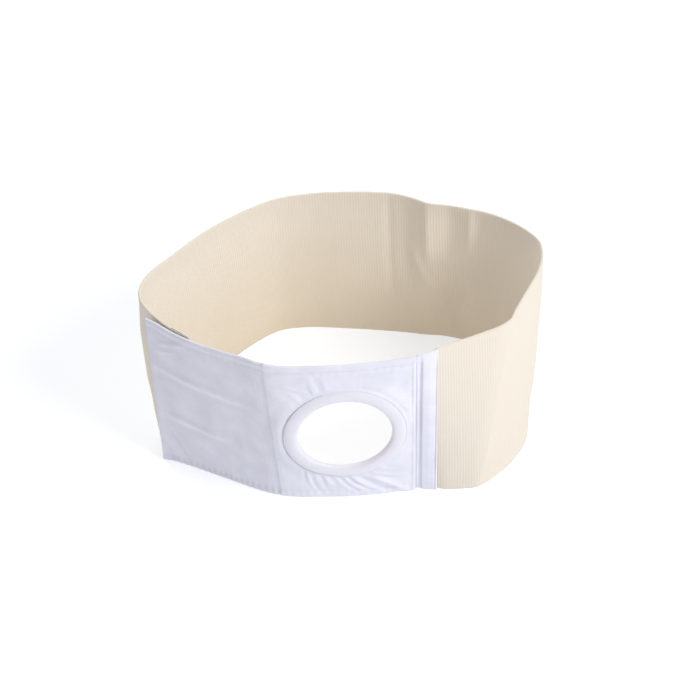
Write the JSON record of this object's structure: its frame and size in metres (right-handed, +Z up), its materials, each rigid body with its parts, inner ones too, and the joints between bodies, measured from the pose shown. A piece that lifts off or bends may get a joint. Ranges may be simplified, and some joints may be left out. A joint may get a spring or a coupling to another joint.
{
  "type": "stoma hernia support belt",
  "caption": "Wide elastic waist belt with a firm white front panel, a round plastic ring for a stoma and a fastening flap, closed and standing on its lower edge.",
  "frame": {"origin": "under the middle of the belt, on the surface that its lower edge stands on", "axes": "+Z up from the lower edge to the upper edge, the front panel and its ring face -Y, +X along the belt's longest side, away from the flap"},
  "size_m": [0.3572, 0.2651, 0.1591],
  "materials": {
    "elastic_knit": "ribbed warp-knitted elastic, matte",
    "white_cloth": "smooth tightly woven white cloth, matte",
    "hook_tape": "fine hook tape, matte",
    "ring_plastic": "soft moulded plastic, satin"
  },
  "bodies": {
    "root": {"elastic_band": "elastic_knit", "facing_strip": "white_cloth", "front_panel": "white_cloth", "fastening_flap": "white_cloth", "hook_patch": "hook_tape", "stoma_ring": "ring_plastic"}
  },
  "joints": []
}
